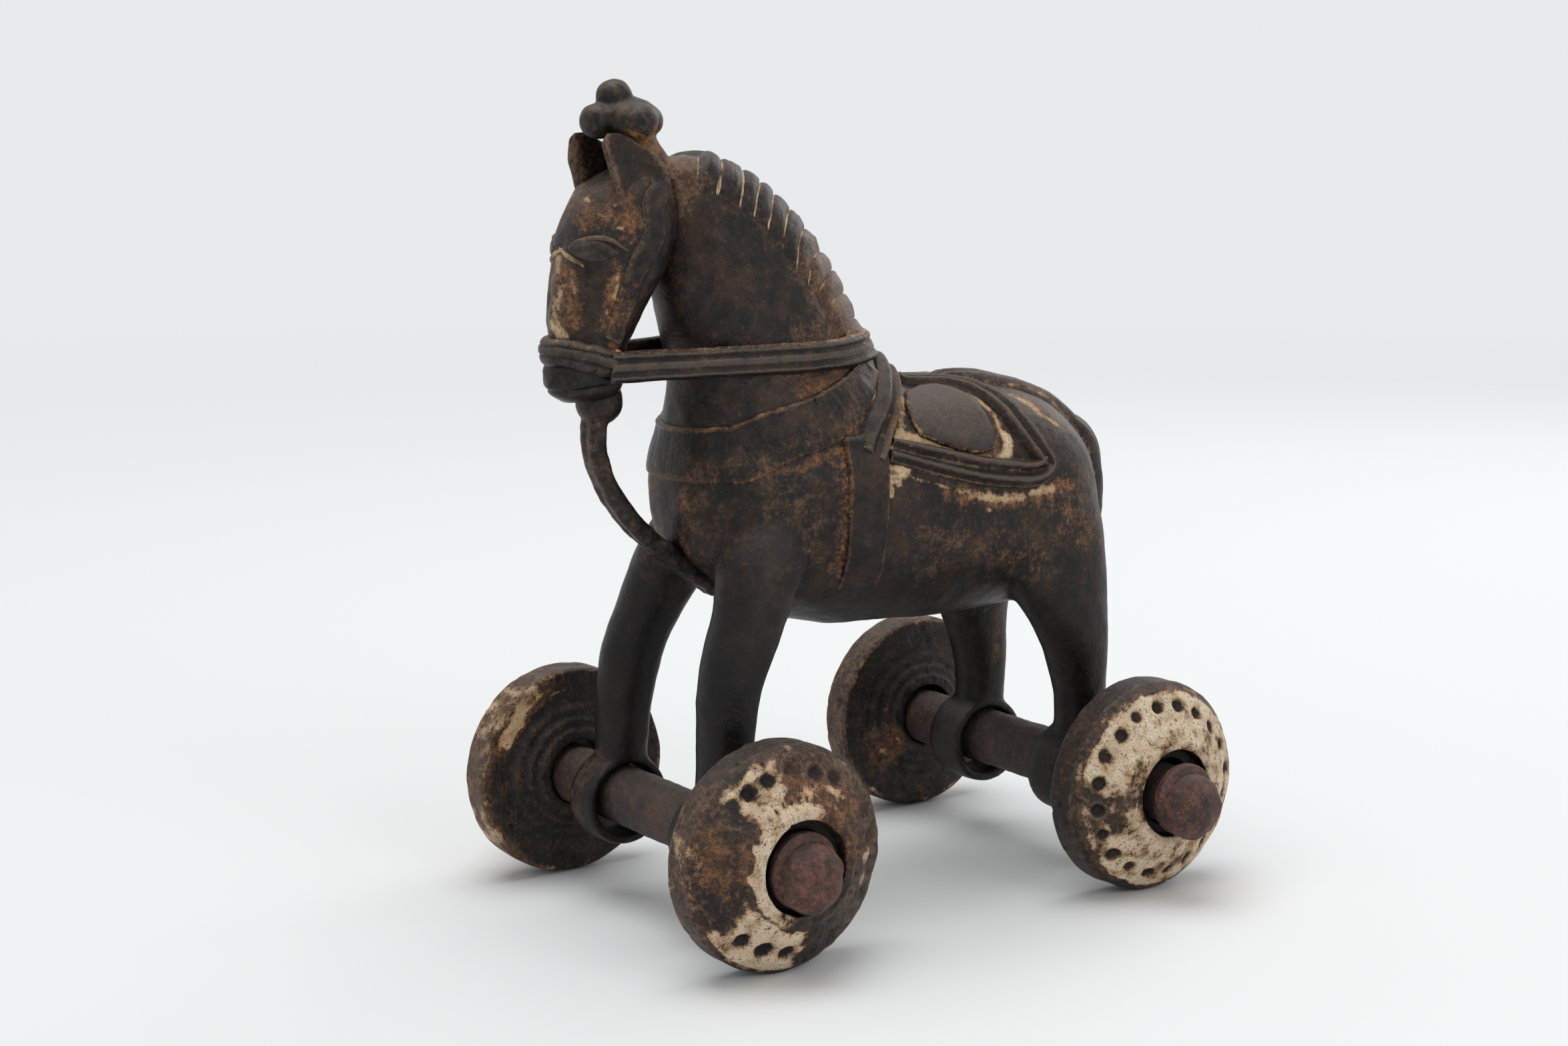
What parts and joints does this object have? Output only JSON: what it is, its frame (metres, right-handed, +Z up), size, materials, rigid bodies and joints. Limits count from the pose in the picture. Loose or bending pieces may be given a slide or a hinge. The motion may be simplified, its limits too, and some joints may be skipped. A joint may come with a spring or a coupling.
{
  "type": "wheeled horse ornament",
  "caption": "Cast bronze horse with bridle, rein, saddle and plume, standing on loose iron axles with dimpled cast wheels that turn.",
  "frame": {"origin": "on the floor under the middle of the toy's box", "axes": "+Z up, the horse faces -Y, and its left side is +X"},
  "size_m": [0.124, 0.147, 0.1722],
  "materials": {
    "horse_bronze": "dark brown patina, half glossy, rubbed lighter on raised edges, with cream and rust-coloured deposit in the recesses",
    "wheel_bronze": "pitted cast bronze, dark brown under a worn cream deposit",
    "axle_iron": "forged iron, matt grey-brown with red-brown rust at the heads"
  },
  "bodies": {
    "horse": {"horse_casting": "horse_bronze", "rein_band": "horse_bronze", "chin_strap": "horse_bronze", "plume_finial": "horse_bronze"},
    "front_axle": {"front_axle": "axle_iron"},
    "rear_axle": {"rear_axle": "axle_iron"},
    "wheel_front_left": {"wheel_front_left": "wheel_bronze"},
    "wheel_front_right": {"wheel_front_right": "wheel_bronze"},
    "wheel_rear_left": {"wheel_rear_left": "wheel_bronze"},
    "wheel_rear_right": {"wheel_rear_right": "wheel_bronze"}
  },
  "joints": [
    {"name": "front_axle_turn", "type": "hinge", "parent": "horse", "child": "front_axle", "pos_m": [0, -0.04521, 0.02235], "axis": [1, 0, 0], "continuous": true},
    {"name": "rear_axle_turn", "type": "hinge", "parent": "horse", "child": "rear_axle", "pos_m": [0, 0.05049, 0.02235], "axis": [1, 0, 0], "continuous": true},
    {"name": "front_left_wheel_turn", "type": "hinge", "parent": "horse", "child": "wheel_front_left", "pos_m": [0.04085, -0.04521, 0.023], "axis": [1, 0, 0], "continuous": true},
    {"name": "front_right_wheel_turn", "type": "hinge", "parent": "horse", "child": "wheel_front_right", "pos_m": [-0.04085, -0.04521, 0.023], "axis": [1, 0, 0], "continuous": true},
    {"name": "rear_left_wheel_turn", "type": "hinge", "parent": "horse", "child": "wheel_rear_left", "pos_m": [0.04085, 0.05049, 0.023], "axis": [1, 0, 0], "continuous": true},
    {"name": "rear_right_wheel_turn", "type": "hinge", "parent": "horse", "child": "wheel_rear_right", "pos_m": [-0.04085, 0.05049, 0.023], "axis": [1, 0, 0], "continuous": true}
  ]
}
